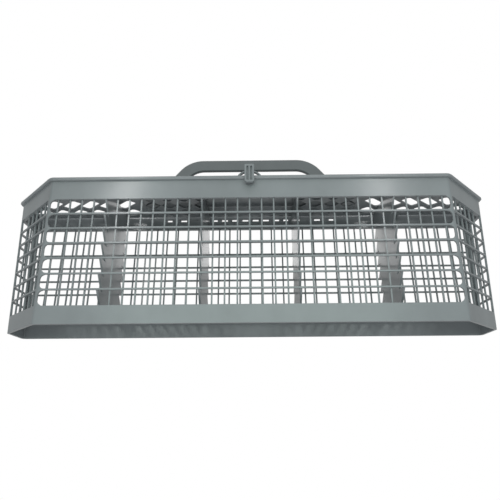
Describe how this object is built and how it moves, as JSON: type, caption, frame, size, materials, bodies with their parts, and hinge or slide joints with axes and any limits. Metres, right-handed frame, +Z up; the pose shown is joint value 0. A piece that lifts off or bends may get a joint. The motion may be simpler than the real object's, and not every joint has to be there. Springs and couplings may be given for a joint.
{
  "type": "dishwasher cutlery basket",
  "caption": "Long open-grille cutlery basket with bevelled front corners, divided inside, with a hinged openwork lid, a front latch clip and an arched carrying handle.",
  "frame": {"origin": "middle of the bounding box on the plane that the skirt's lower edge stands on", "axes": "+X along the basket, +Y from the bevelled front with the latch to the hinged back, +Z up"},
  "size_m": [0.4994, 0.1028, 0.1832],
  "materials": {
    "body_plastic": "satin moulded polypropylene, cool mid grey",
    "lid_plastic": "satin moulded polypropylene, cool mid grey",
    "handle_plastic": "satin moulded polypropylene, cool mid grey"
  },
  "bodies": {
    "basket": {"basket_body": "body_plastic"},
    "lid": {"lid": "lid_plastic", "handle": "handle_plastic"}
  },
  "joints": [
    {"name": "lid_hinge", "type": "hinge", "parent": "basket", "child": "lid", "pos_m": [0, 0.04119, 0.1365], "axis": [-1, 0, 0], "range_deg": [0, 100]}
  ]
}
